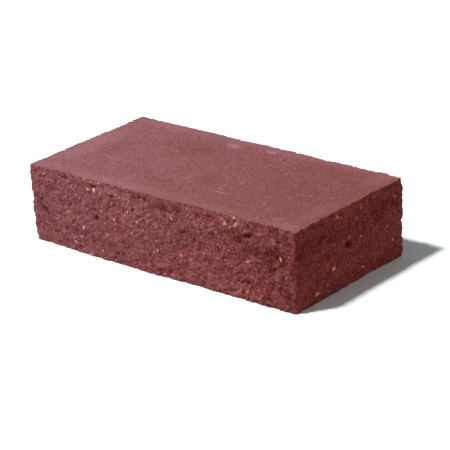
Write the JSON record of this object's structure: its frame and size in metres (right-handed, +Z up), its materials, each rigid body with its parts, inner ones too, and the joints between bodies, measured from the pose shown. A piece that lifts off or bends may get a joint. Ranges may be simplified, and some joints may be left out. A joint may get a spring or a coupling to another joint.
{
  "type": "split-face concrete brick",
  "caption": "Solid burgundy concrete brick with smooth moulded top and bottom beds and rough split sides showing ochre stone chips.",
  "frame": {"origin": "centre of the bottom bed, under the middle of the brick's box", "axes": "+X along the brick's length towards the flatter split end, +Y across its width towards the back, +Z up from bed to bed"},
  "size_m": [0.25, 0.135, 0.062],
  "materials": {
    "concrete": "burgundy pigmented concrete, matt: fine-grained moulded beds, coarse broken sides with ochre and cream stone chips"
  },
  "bodies": {
    "root": {"brick": "concrete"}
  },
  "joints": []
}
